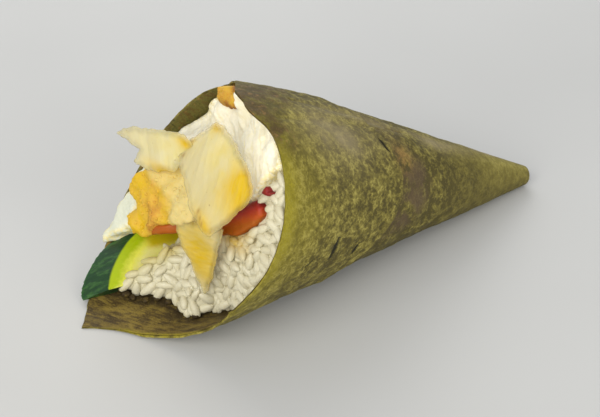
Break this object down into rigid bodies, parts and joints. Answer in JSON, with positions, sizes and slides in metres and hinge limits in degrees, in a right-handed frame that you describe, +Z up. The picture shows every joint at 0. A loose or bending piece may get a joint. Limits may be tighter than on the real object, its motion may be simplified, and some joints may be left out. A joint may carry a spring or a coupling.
{
  "type": "temaki hand roll",
  "caption": "Cone-shaped hand roll: a wound nori sheet around sushi rice, with cream, crumbed pieces, cucumber, a red strip and thin flakes at its open mouth.",
  "frame": {"origin": "on the table, in the middle of the flat strip that the roll rests on", "axes": "+X along the resting line towards the pointed end, the open mouth towards -X, +Z up, +Y to the far side of the mouth"},
  "size_m": [0.1314, 0.0616, 0.0569],
  "materials": {
    "nori": "dry, mottled, half matt",
    "rice": "moist, translucent grains",
    "cream": "soft, satin",
    "cucumber": "wet flesh with a dark green skin edge",
    "red_filling": "moist, satin",
    "golden_crumb": "crumbed, dry",
    "flake": "thin, dry, translucent"
  },
  "bodies": {
    "root": {"nori_wrap": "nori", "rice": "rice", "cream": "cream", "cucumber": "cucumber", "red_strip": "red_filling", "red_sliver": "red_filling", "fried_piece": "golden_crumb", "fried_piece_top": "golden_crumb", "flake_side": "flake", "flake_front": "flake", "flake_drop": "flake"}
  },
  "joints": []
}
